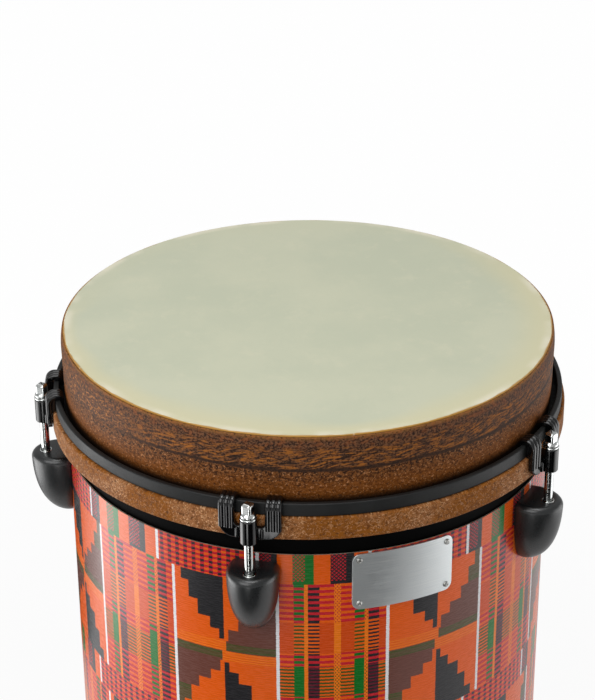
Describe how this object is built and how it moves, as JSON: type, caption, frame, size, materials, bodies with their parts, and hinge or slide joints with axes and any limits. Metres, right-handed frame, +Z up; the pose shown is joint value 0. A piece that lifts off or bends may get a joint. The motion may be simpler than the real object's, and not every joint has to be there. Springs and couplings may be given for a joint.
{
  "type": "tubano drum",
  "caption": "Tall free-standing hand drum on a straight wrapped tube, with a rod-tensioned film head, black claws and lugs, an inner sound tube and rubber feet.",
  "frame": {"origin": "on the floor under the drum's axis, in the middle of the circle of feet", "axes": "+Z up along the drum's axis, -Y out through the middle of the badge plate"},
  "size_m": [0.3375, 0.3389, 0.686],
  "materials": {
    "shell_paint": "pressed wood fibre, painted satin black",
    "wrap_cloth": "thin laminate printed with a strip-woven cloth pattern",
    "film": "smooth cream film, satin",
    "collar_fibre": "mottled brown fibre, matt",
    "hoop_fibre": "light brown speckled fibre, matt",
    "hoop_steel": "satin black powder coat on steel",
    "claw_enamel": "gloss black enamel on a casting",
    "plating": "bright plated steel",
    "lug_plastic": "satin black moulded nylon",
    "badge_metal": "satin brushed sheet",
    "screw_steel": "plain zinc-plated steel",
    "board_paint": "board painted matt black",
    "port_board": "wound grey paper-fibre tube",
    "foot_rubber": "matt moulded rubber"
  },
  "bodies": {
    "drum": {"shell": "shell_paint", "shell_wrap": "wrap_cloth", "lug_1": "lug_plastic", "lug_2": "lug_plastic", "lug_3": "lug_plastic", "lug_4": "lug_plastic", "lug_5": "lug_plastic", "lug_insert_1": "plating", "lug_insert_2": "plating", "lug_insert_3": "plating", "lug_insert_4": "plating", "lug_insert_5": "plating", "lug_screw_upper_1": "screw_steel", "lug_screw_lower_1": "screw_steel", "lug_screw_upper_2": "screw_steel", "lug_screw_lower_2": "screw_steel", "lug_screw_upper_3": "screw_steel", "lug_screw_lower_3": "screw_steel", "lug_screw_upper_4": "screw_steel", "lug_screw_lower_4": "screw_steel", "lug_screw_upper_5": "screw_steel", "lug_screw_lower_5": "screw_steel", "badge_plate": "badge_metal", "badge_rivet_1": "screw_steel", "badge_rivet_2": "screw_steel", "badge_rivet_3": "screw_steel", "badge_rivet_4": "screw_steel", "base_board": "board_paint", "port_tube": "port_board", "foot_1": "foot_rubber", "foot_2": "foot_rubber", "foot_3": "foot_rubber", "foot_4": "foot_rubber", "foot_screw_1": "screw_steel", "foot_screw_2": "screw_steel", "foot_screw_3": "screw_steel", "foot_screw_4": "screw_steel"},
    "head": {"head_film": "film", "head_collar": "collar_fibre", "flesh_hoop": "hoop_fibre", "counterhoop": "hoop_steel", "claw_1": "claw_enamel", "claw_2": "claw_enamel", "claw_3": "claw_enamel", "claw_4": "claw_enamel", "claw_5": "claw_enamel", "rod_washer_1": "plating", "rod_washer_2": "plating", "rod_washer_3": "plating", "rod_washer_4": "plating", "rod_washer_5": "plating"},
    "rod_1": {"tension_rod_1": "plating"},
    "rod_2": {"tension_rod_2": "plating"},
    "rod_3": {"tension_rod_3": "plating"},
    "rod_4": {"tension_rod_4": "plating"},
    "rod_5": {"tension_rod_5": "plating"}
  },
  "joints": [
    {"name": "head_lift", "type": "slide", "parent": "drum", "child": "head", "axis": [0, 0, 1], "range_m": [0, 0.01]},
    {"name": "rod_turn_1", "type": "hinge", "parent": "head", "child": "rod_1", "pos_m": [-0.09183, -0.14033, 0.64], "axis": [0, 0, 1], "range_deg": [0, 3402]},
    {"name": "rod_turn_2", "type": "hinge", "parent": "head", "child": "rod_2", "pos_m": [0.10508, -0.1307, 0.64], "axis": [0, 0, 1], "range_deg": [0, 3402]},
    {"name": "rod_turn_3", "type": "hinge", "parent": "head", "child": "rod_3", "pos_m": [0.15677, 0.05955, 0.64], "axis": [0, 0, 1], "range_deg": [0, 3402]},
    {"name": "rod_turn_4", "type": "hinge", "parent": "head", "child": "rod_4", "pos_m": [-0.00819, 0.1675, 0.64], "axis": [0, 0, 1], "range_deg": [0, 3402]},
    {"name": "rod_turn_5", "type": "hinge", "parent": "head", "child": "rod_5", "pos_m": [-0.16183, 0.04397, 0.64], "axis": [0, 0, 1], "range_deg": [0, 3402]}
  ],
  "couplings": [
    {"joint": "rod_turn_1", "follows": "head_lift", "rad_per_m": 5936.9},
    {"joint": "rod_turn_2", "follows": "head_lift", "rad_per_m": 5936.9},
    {"joint": "rod_turn_3", "follows": "head_lift", "rad_per_m": 5936.9},
    {"joint": "rod_turn_4", "follows": "head_lift", "rad_per_m": 5936.9},
    {"joint": "rod_turn_5", "follows": "head_lift", "rad_per_m": 5936.9}
  ]
}
